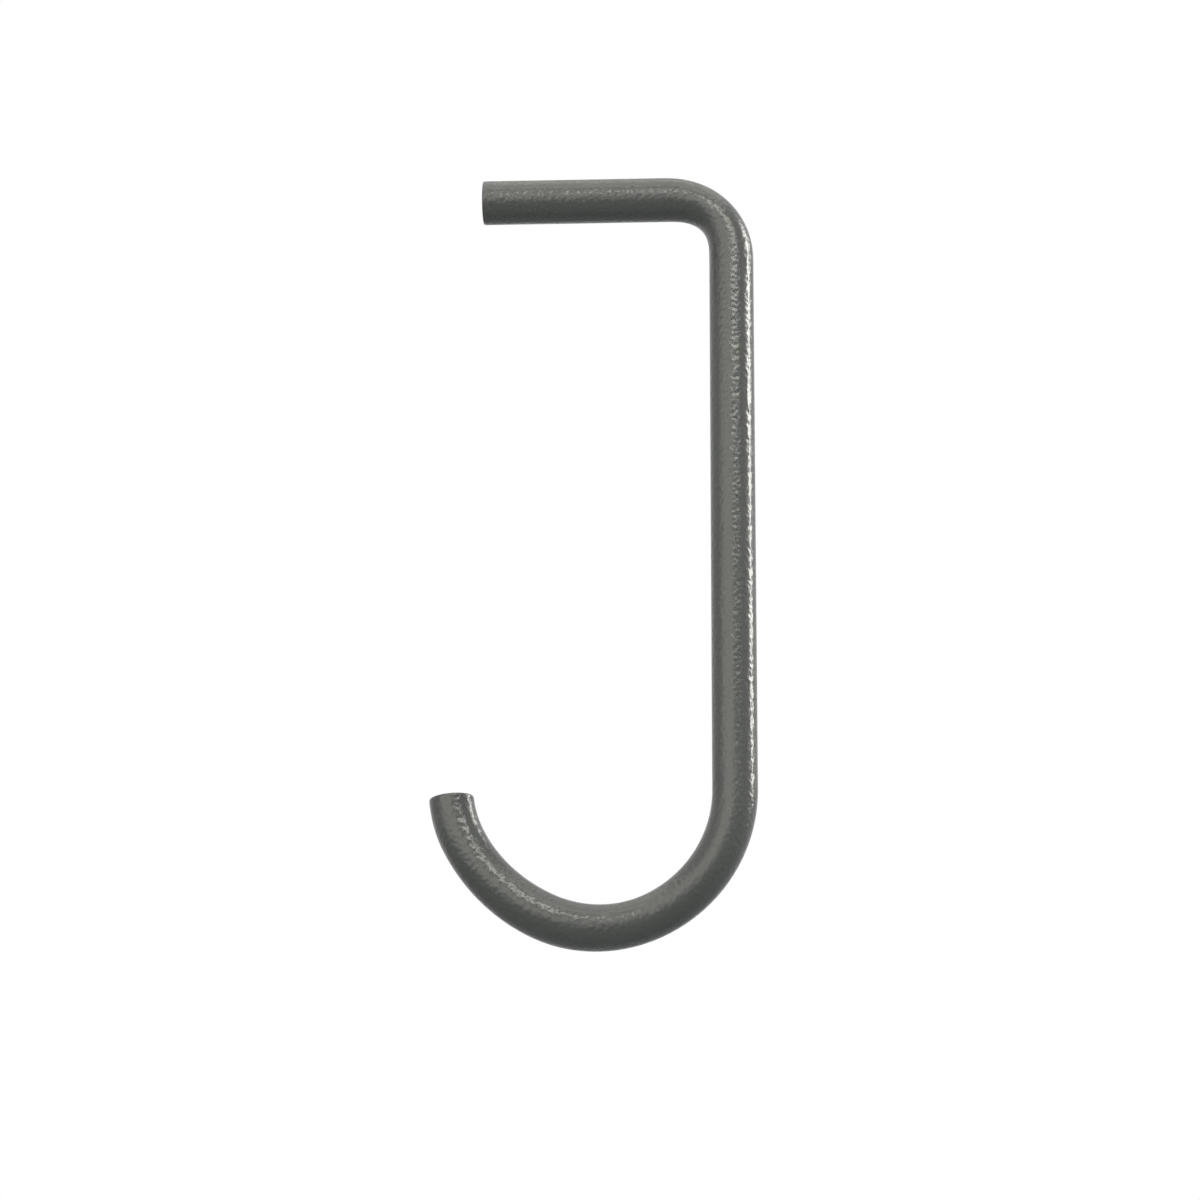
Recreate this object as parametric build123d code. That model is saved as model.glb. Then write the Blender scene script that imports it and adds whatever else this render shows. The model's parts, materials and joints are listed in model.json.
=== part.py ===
"""J hook bent from one round steel bar, millimetres, +Z up.

The origin is the middle of the arm's end face. The arm runs towards +X, the
shank drops towards -Z and the J comes back towards -X, all in the plane y = 0.
"""
import os
from math import pi, sin

from build123d import *

# the bar
BAR_D = 8.0             # common stock size, coated
END_BREAK = 0.3         # rounding of the two sheared ends

# the arm that goes into the support, and the cold bend below it
ARM_LEN = 33.4
BEND_R = 11.8           # to the middle of the bar
BEND_SQUEEZE = 0.10     # share of the width lost across the bend, at its middle
BEND_SPREAD = 0.03      # share gained sideways there
BEND_PUSH = 0.5         # how far the middle of the section moves outwards there

# the shank
SHANK_LEN = 99.3

# the J, formed in four strokes that run into each other
HEEL_R = 24.65
HEEL_TURN = 64.0
BOWL_R = 22.6
BOWL_TURN = 52.0
RISE_R = 30.45
RISE_TURN = 35.8
LIP_R = 21.5
LIP_TURN = 23.0
BOWL_SWELL = 0.05       # share the bar is thicker where bowl and rise meet
LIP_DRAW = 0.016        # share the bar is thinner at its tip

# sections that each changing stretch is drawn through
BEND_CUTS = 8
TAPER_CUTS = 4


def bar_lines():
    """Middle line of the bar, from the arm's end to the tip of the J."""
    with BuildLine(Plane.XZ) as line:
        arm = Line((0, 0), (ARM_LEN, 0))
        bend = JernArc(arm @ 1, arm % 1, BEND_R, -90)
        shank = PolarLine(bend @ 1, SHANK_LEN, direction=bend % 1)
        heel = JernArc(shank @ 1, shank % 1, HEEL_R, -HEEL_TURN)
        bowl = JernArc(heel @ 1, heel % 1, BOWL_R, -BOWL_TURN)
        rise = JernArc(bowl @ 1, bowl % 1, RISE_R, -RISE_TURN)
        lip = JernArc(rise @ 1, rise % 1, LIP_R, -LIP_TURN)
    return arm, bend, shank, [heel, bowl, rise, lip]


def cut_plane(edge, place):
    """Plane square to the bar, its x sideways and its y to the outside of the bends."""
    return Plane(origin=edge @ place, x_dir=(0, 1, 0), z_dir=edge % place)


def even(edge):
    """Stretch of bar that kept its round section."""
    return sweep(cut_plane(edge, 0) * Circle(BAR_D / 2), path=edge)


def section(edge, place, sideways=1.0, across=1.0, push=0.0):
    """The bar's section at a place along an edge, stretched and pushed outwards."""
    face = scale(Circle(BAR_D / 2), by=(sideways, across, 1))
    return cut_plane(edge, place) * Pos(0, push, 0) * face


def bent_arm(bend):
    """Cold bend: the inside is flattened most at the middle of the turn."""
    cuts = []
    for cut in range(BEND_CUTS + 1):
        place = cut / BEND_CUTS
        much = sin(pi * place) ** 2
        cuts.append(section(bend, place, 1 + BEND_SPREAD * much,
                            1 - BEND_SQUEEZE * much, BEND_PUSH * much))
    return sweep(cuts, path=bend, multisection=True)


def tapered(edge, first, last):
    """Stretch of the J whose width runs smoothly from first to last, as shares."""
    cuts = []
    for cut in range(TAPER_CUTS + 1):
        place = cut / TAPER_CUTS
        width = first + (last - first) * sin(pi * place / 2) ** 2
        cuts.append(section(edge, place, width, width))
    return sweep(cuts, path=edge, multisection=True)


def curved_j(strokes):
    """The J: it swells where bowl and rise meet and is drawn thinner at the lip."""
    heel, bowl, rise, lip = strokes
    swollen = 1 + BOWL_SWELL
    j = even(heel) + tapered(bowl, 1, swollen) + tapered(rise, swollen, 1)
    return j + tapered(lip, 1, 1 - LIP_DRAW)


def hook_bar():
    arm, bend, shank, strokes = bar_lines()
    bar = even(arm) + bent_arm(bend) + even(shank) + curved_j(strokes)
    ends = bar.faces().filter_by(GeomType.PLANE).edges()
    return fillet(ends, END_BREAK)


os.makedirs("parts", exist_ok=True)
export_step(hook_bar(), "parts/hook_bar.step")
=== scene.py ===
"""A powder-coated J hook bent from one round bar, in a plain studio. Metres, +Z up."""
import json
from math import cos, pi, radians, sin, tan

import bmesh
import bpy
from mathutils import Matrix, Vector


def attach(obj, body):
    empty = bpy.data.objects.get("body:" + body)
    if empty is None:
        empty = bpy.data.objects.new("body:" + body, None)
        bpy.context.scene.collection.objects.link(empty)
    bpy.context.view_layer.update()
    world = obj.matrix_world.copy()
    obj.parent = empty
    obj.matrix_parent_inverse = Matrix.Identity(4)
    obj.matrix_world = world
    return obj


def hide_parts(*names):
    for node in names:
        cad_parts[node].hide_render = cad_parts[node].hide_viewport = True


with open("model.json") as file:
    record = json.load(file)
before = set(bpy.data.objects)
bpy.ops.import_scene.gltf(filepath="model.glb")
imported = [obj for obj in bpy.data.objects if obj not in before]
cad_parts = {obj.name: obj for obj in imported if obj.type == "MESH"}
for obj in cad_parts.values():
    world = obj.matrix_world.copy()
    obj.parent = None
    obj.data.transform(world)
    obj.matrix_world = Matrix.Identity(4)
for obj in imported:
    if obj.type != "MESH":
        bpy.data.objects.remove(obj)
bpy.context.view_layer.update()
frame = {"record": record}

# ---- Hook bar -------------------------------------------------------------------
# One round steel bar, sheared to length and bent cold: a short arm that is pushed into
# its socket, a tight bend, a long shank, and the J that carries the load. It was
# sprayed with powder and baked after bending, so one coat runs over ends and bends.
BAR_R = frame["record"]["mounts"][0]["dims"]["r_mm"] / 1000
ARM_LEN = 0.0334
BEND_R, BEND_TURN = 0.0118, 90.0
BEND_SQUEEZE = 0.10        # share of its width that the bar loses across the bend
BEND_SPREAD = 0.03         # share that it gains sideways there
BEND_PUSH = 0.0005         # its middle moves outwards there by this
SHANK_LEN = 0.0993
HEEL_R, HEEL_TURN = 0.02465, 64.0
BOWL_R, BOWL_TURN = 0.0226, 52.0
RISE_R, RISE_TURN = 0.03045, 35.8
LIP_R, LIP_TURN = 0.0215, 23.0
BOWL_SWELL = 1.05          # times the bar's width, where bowl and rise meet
LIP_DRAW = 0.984           # and at the tip
END_BREAK = 0.0003         # the sheared edges are rounded by the coat
BREAK_STEPS = 2
SIDES = 24
STRIDE = 0.001             # from one ring of the mesh to the next
SMOOTHINGS = 2             # times that the mesh is divided and rounded
HAIR = 0.00001             # a point this near to an end's plane lies in it

# Smoothing draws a ring of points inwards, so the ring starts larger.
fullness = 3 / (2 + cos(2 * pi / SIDES))
bpy.ops.object.select_all(action="DESELECT")
bpy.ops.mesh.primitive_circle_add(
    vertices=SIDES, radius=BAR_R * fullness, location=(0, 0, 0), rotation=(0, pi / 2, 0))
hook = bpy.context.object
hook.name = "hook_bar_coated"
bpy.ops.object.transform_apply(location=True, rotation=True, scale=True)
bpy.ops.object.mode_set(mode="EDIT")
bpy.ops.mesh.select_mode(type="VERT")
bpy.ops.mesh.select_all(action="SELECT")
end_at = Vector((0, 0, 0))     # where the bar's open end is now
heading = Vector((1, 0, 0))    # and which way it points


def run(length):
    """Draws the open end on in a straight line."""
    global end_at
    rings = round(length / STRIDE)
    for _ in range(rings):
        bpy.ops.mesh.extrude_region_move(
            TRANSFORM_OT_translate={"value": heading * length / rings})
    end_at = end_at + heading * length


def bend(radius, turn, shape):
    """Turns the open end to its right, seen from the front, about a point at that radius.

    shape gives, for a share of the turn, the bar's width in the bend's plane and its width
    sideways, both as multiples of its own, and how far its middle is pushed outwards.
    """
    global end_at, heading
    middle = end_at + Vector((heading.z, 0, -heading.x)) * radius
    rings = round(radius * radians(turn) / STRIDE)
    angle = radians(turn) / rings
    step = Matrix.Rotation(angle, 3, "Y")
    across, sideways, push = shape(0)
    for ring in range(1, rings + 1):
        # spin counts its angle the other way round
        bpy.ops.mesh.spin(steps=1, angle=-angle, center=middle, axis=(0, 1, 0))
        end_at = middle + step @ (end_at - middle)
        heading = step @ heading
        outwards = (end_at - middle).normalized()
        wider, broader, further = shape(ring / rings)
        bpy.ops.transform.resize(
            value=(wider / across, broader / sideways, wider / across),
            center_override=end_at + outwards * push)
        bpy.ops.transform.translate(value=outwards * (further - push))
        across, sideways, push = wider, broader, further


def tapering(first, last):
    """A bar that changes its width smoothly from one end of a bend to the other."""
    def shape(share):
        width = first + (last - first) * sin(share * pi / 2) ** 2
        return width, width, 0
    return shape


def flattened(share):
    """The bar in its tight bend, where the outside is stretched and drawn in."""
    most = sin(share * pi) ** 2
    return 1 - BEND_SQUEEZE * most, 1 + BEND_SPREAD * most, BEND_PUSH * most


run(ARM_LEN)
bend(BEND_R, BEND_TURN, flattened)
run(SHANK_LEN)
bend(HEEL_R, HEEL_TURN, tapering(1, 1))
bend(BOWL_R, BOWL_TURN, tapering(1, BOWL_SWELL))
bend(RISE_R, RISE_TURN, tapering(BOWL_SWELL, 1))
bend(LIP_R, LIP_TURN, tapering(1, LIP_DRAW))

# The two sheared ends are closed. A second ring in each face keeps it flat when the
# mesh is smoothed, and its edge is rounded as the coat rounds it.
bpy.ops.mesh.select_all(action="DESELECT")
bpy.ops.mesh.select_non_manifold(extend=False)
bpy.ops.mesh.edge_face_add()
bpy.ops.mesh.select_mode(type="FACE")
cage = bmesh.from_edit_mesh(hook.data)
for face in cage.faces:
    face.select_set(len(face.verts) == SIDES)
bpy.ops.mesh.inset(thickness=2 * END_BREAK)
bpy.ops.mesh.select_mode(type="EDGE")
bpy.ops.mesh.select_all(action="DESELECT")
cage = bmesh.from_edit_mesh(hook.data)
for edge in cage.edges:
    for middle, way in ((Vector((0, 0, 0)), Vector((1, 0, 0))), (end_at, heading)):
        arms = [v.co - middle for v in edge.verts]
        if all(abs(a.dot(way)) < HAIR and a.length > BAR_R - END_BREAK for a in arms):
            edge.select_set(True)
bpy.ops.mesh.bevel(offset=END_BREAK, segments=BREAK_STEPS, affect="EDGES")
bpy.ops.mesh.select_all(action="SELECT")
bpy.ops.mesh.normals_make_consistent(inside=False)
bpy.ops.object.mode_set(mode="OBJECT")
smoothing = hook.modifiers.new("smoothing", "SUBSURF")
smoothing.levels = smoothing.render_levels = SMOOTHINGS
bpy.ops.object.modifier_apply(modifier=smoothing.name)
bpy.ops.object.shade_smooth()

# Powder coat on steel: polyester powder sprayed dry and baked in a dark grey. It flows
# out to a semi-gloss skin with orange peel, which is shallow dimples, so the eye gets
# long soft glints that are broken into dashes. Where it lies thicker, in patches, it is
# a shade lighter and glossier.
THIN_COAT, THICK_COAT = "#424444", "#464848"
THIN_ROUGHNESS, THICK_ROUGHNESS = 0.29, 0.23
COAT_IOR = 1.43            # a little under polyester's own, since its surface is matted
FILM_PATCH = 0.006
DIMPLE_SPACING = 0.0012
DIMPLE_IN_NOISE = 1.558    # the same spacing in the noise's own units
PEEL_DEPTH = 0.00009


def linear(colour):
    """An sRGB hex colour as linear red, green, blue and alpha."""
    parts = [int(colour[i:i + 2], 16) / 255 for i in (1, 3, 5)]
    return [p / 12.92 if p <= 0.04045 else ((p + 0.055) / 1.055) ** 2.4 for p in parts] + [1]


def node(tree, kind, inputs, **settings):
    """Adds a node with its settings. inputs gives each socket, by name or by number, its
    value or the output that is linked to it."""
    made = tree.nodes.new(kind)
    for name, value in settings.items():
        setattr(made, name, value)
    for socket, value in inputs.items():
        if isinstance(value, bpy.types.NodeSocket):
            tree.links.new(value, made.inputs[socket])
        else:
            made.inputs[socket].default_value = value
    return made


coat = bpy.data.materials.new("powder_coated_steel")
coat.use_nodes = True
tree = coat.node_tree
tree.nodes.clear()
on_hook = node(tree, "ShaderNodeTexCoord", {}).outputs["Object"]
peel = node(tree, "ShaderNodeTexNoise",
            {"Vector": on_hook, "Scale": DIMPLE_IN_NOISE / DIMPLE_SPACING, "Detail": 0})
skin = node(tree, "ShaderNodeBump", {"Height": peel.outputs["Fac"], "Distance": PEEL_DEPTH})
film = node(tree, "ShaderNodeTexNoise",
            {"Vector": on_hook, "Scale": 1 / FILM_PATCH, "Detail": 2})
shade = node(tree, "ShaderNodeMixRGB",
             {"Fac": film.outputs["Fac"],
              "Color1": linear(THIN_COAT), "Color2": linear(THICK_COAT)})
gloss = node(tree, "ShaderNodeMapRange",
             {"Value": film.outputs["Fac"],
              "To Min": THIN_ROUGHNESS, "To Max": THICK_ROUGHNESS})
shader = node(tree, "ShaderNodeBsdfPrincipled",
              {"Base Color": shade.outputs["Color"], "Roughness": gloss.outputs["Result"],
               "IOR": COAT_IOR, "Normal": skin.outputs["Normal"]})
node(tree, "ShaderNodeOutputMaterial", {"Surface": shader.outputs["BSDF"]})
hook.data.materials.append(coat)

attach(hook, "root")
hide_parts("hook_bar")

# ---- Floor and room ---------------------------------------------------------------
# A plain pale matt floor, below the hook and the camera. It pales with distance into the
# white of the room, as a paper sweep does, so there is no horizon.
FLOOR_COLOUR = "#BCC0C6"
ROOM_WHITE = "#FFFFFF"
FLOOR_Z = -0.6
FLOOR_SIZE = 12
PALES_FROM, PALES_TO = 0.6, 3.6      # distance from its middle
PALE_AT_MIDDLE = 0.32                # share of white there

bpy.ops.mesh.primitive_plane_add(size=FLOOR_SIZE, location=(0, 0, FLOOR_Z))
floor = bpy.context.object
floor.name = "floor"


def showing(tree):
    """1 for the rays that show what is there, to the camera, in gloss or through glass,
    and 0 for those that would light the hook with it."""
    ray = node(tree, "ShaderNodeLightPath", {}).outputs
    seen = ray["Is Camera Ray"]
    for kind in ("Is Glossy Ray", "Is Transmission Ray"):
        seen = node(tree, "ShaderNodeMath", {0: seen, 1: ray[kind]},
                    operation="MAXIMUM").outputs["Value"]
    return seen


matt = bpy.data.materials.new("matt_floor_paint")
matt.use_nodes = True
tree = matt.node_tree
tree.nodes.clear()
paint = node(tree, "ShaderNodeBsdfDiffuse", {"Color": linear(FLOOR_COLOUR)})
white = node(tree, "ShaderNodeEmission",
             {"Color": linear(ROOM_WHITE), "Strength": showing(tree)})
on_floor = node(tree, "ShaderNodeTexCoord", {}).outputs["Object"]
reach = node(tree, "ShaderNodeVectorMath", {"Vector": on_floor}, operation="LENGTH")
paling = node(tree, "ShaderNodeMapRange",
              {"Value": reach.outputs["Value"], "From Min": PALES_FROM,
               "From Max": PALES_TO, "To Min": PALE_AT_MIDDLE},
              interpolation_type="SMOOTHSTEP")
sweep = node(tree, "ShaderNodeMixShader",
             {"Fac": paling.outputs["Result"],
              1: paint.outputs["BSDF"], 2: white.outputs["Emission"]})
node(tree, "ShaderNodeOutputMaterial", {"Surface": sweep.outputs["Shader"]})
floor.data.materials.append(matt)

room = bpy.data.worlds.new("white_room")
bpy.context.scene.world = room
room.use_nodes = True
tree = room.node_tree
tree.nodes.clear()
wall = node(tree, "ShaderNodeBackground",
            {"Color": linear(ROOM_WHITE), "Strength": showing(tree)})
node(tree, "ShaderNodeOutputWorld", {"Surface": wall.outputs["Background"]})

# ---- Lamps ------------------------------------------------------------------------
# Soft boxes on stands round the hook: a large one at its front left, made of three that
# lie over each other because it is brightest in its middle, narrow ones in front, wide
# ones overhead, and two at its right that draw the long bright glint.
HOOK_AT = Vector((0.02, 0, -0.06))   # where they all point
WARM = (1, 0.993, 0.885)             # a lamp's light, as red, green and blue
NEARLY_WHITE = (1, 0.995, 0.94)


def soft_box(name, turn, tilt, wide, high, level, away=3.0, lean=0, tint=WARM):
    """A flat lamp that faces the hook.

    turn, tilt, wide and high are the direction and the size at which the hook sees it,
    in degrees, with 0 to the front and 90 to the right. level is how bright its face is,
    where 1 is white paper in plain light, away is its distance in metres, and lean turns
    it about its own middle, in degrees.
    """
    way = Vector((sin(radians(turn)) * cos(radians(tilt)),
                  -cos(radians(turn)) * cos(radians(tilt)), sin(radians(tilt))))
    lamp = bpy.data.lights.new(name, "AREA")
    lamp.shape = "RECTANGLE"
    lamp.size = 2 * away * tan(radians(wide) / 2)
    lamp.size_y = 2 * away * tan(radians(high) / 2)
    lamp.energy = level * pi * lamp.size * lamp.size_y    # watts, for that level
    lamp.color = tint
    box = bpy.data.objects.new(name, lamp)
    bpy.context.scene.collection.objects.link(box)
    box.location = HOOK_AT + way * away
    facing = (-way).to_track_quat("-Z", "Y").to_matrix()
    box.rotation_euler = (facing @ Matrix.Rotation(radians(lean), 3, "Z")).to_euler()
    box.visible_camera = False
    return box


soft_box("front_left_outer", turn=-34, tilt=6, wide=76, high=52, level=0.6)
soft_box("front_left_middle", turn=-31, tilt=8.5, wide=62, high=37, level=0.92)
soft_box("front_left_inner", turn=-27, tilt=11, wide=50, high=27, level=1.14)
soft_box("front_strip", turn=18.5, tilt=30, wide=31, high=8, level=16.2, away=0.8)
soft_box("front_strip_end", turn=-13, tilt=30, wide=14, high=4, level=3, away=0.8)
soft_box("front_right_low", turn=25, tilt=15.5, wide=34, high=5, level=0.9)
soft_box("front_upper", turn=-10, tilt=39.3, wide=48, high=9, level=3.4)
soft_box("over_front", turn=0, tilt=60, wide=50, high=12, level=1.93)
soft_box("overhead", turn=0, tilt=82, wide=66, high=54, level=1.47)
soft_box("key", turn=98.5, tilt=21, wide=9, high=24, level=30.2, away=2.0, lean=20,
         tint=NEARLY_WHITE)
soft_box("key_top", turn=108, tilt=32, wide=16, high=20, level=10.8, away=2.0, lean=30,
         tint=NEARLY_WHITE)
# The fill only lifts the shade behind the hook, with no glint of its own.
back_fill = soft_box("back_fill", turn=190, tilt=12, wide=80, high=50, level=1.4)
back_fill.visible_glossy = False

# ---- Camera -----------------------------------------------------------------------
# A long lens, from below the hook and a little to its right. It looks up at the hook,
# so the underside of the arm shows, and the end face of the tip doesn't.
EYE_AT = (0.0590, -0.7097, -0.2959)
EYE_TURN = 3.023           # degrees to the left of straight ahead
EYE_RAISED = 107.181       # from straight down
EYE_ROLL = 0.152
LENS, SENSOR = 126, 36     # mm
NEAR, FAR = 0.01, 50

bpy.ops.object.camera_add(location=EYE_AT)
eye = bpy.context.object
eye.rotation_mode = "QUATERNION"
aim = (Matrix.Rotation(radians(EYE_TURN), 3, "Z") @ Matrix.Rotation(radians(EYE_RAISED), 3, "X")
       @ Matrix.Rotation(radians(EYE_ROLL), 3, "Z"))
eye.rotation_quaternion = aim.to_quaternion()
eye.data.lens, eye.data.sensor_width = LENS, SENSOR
eye.data.clip_start, eye.data.clip_end = NEAR, FAR
bpy.context.scene.camera = eye
bpy.context.scene.view_settings.view_transform = "Standard"
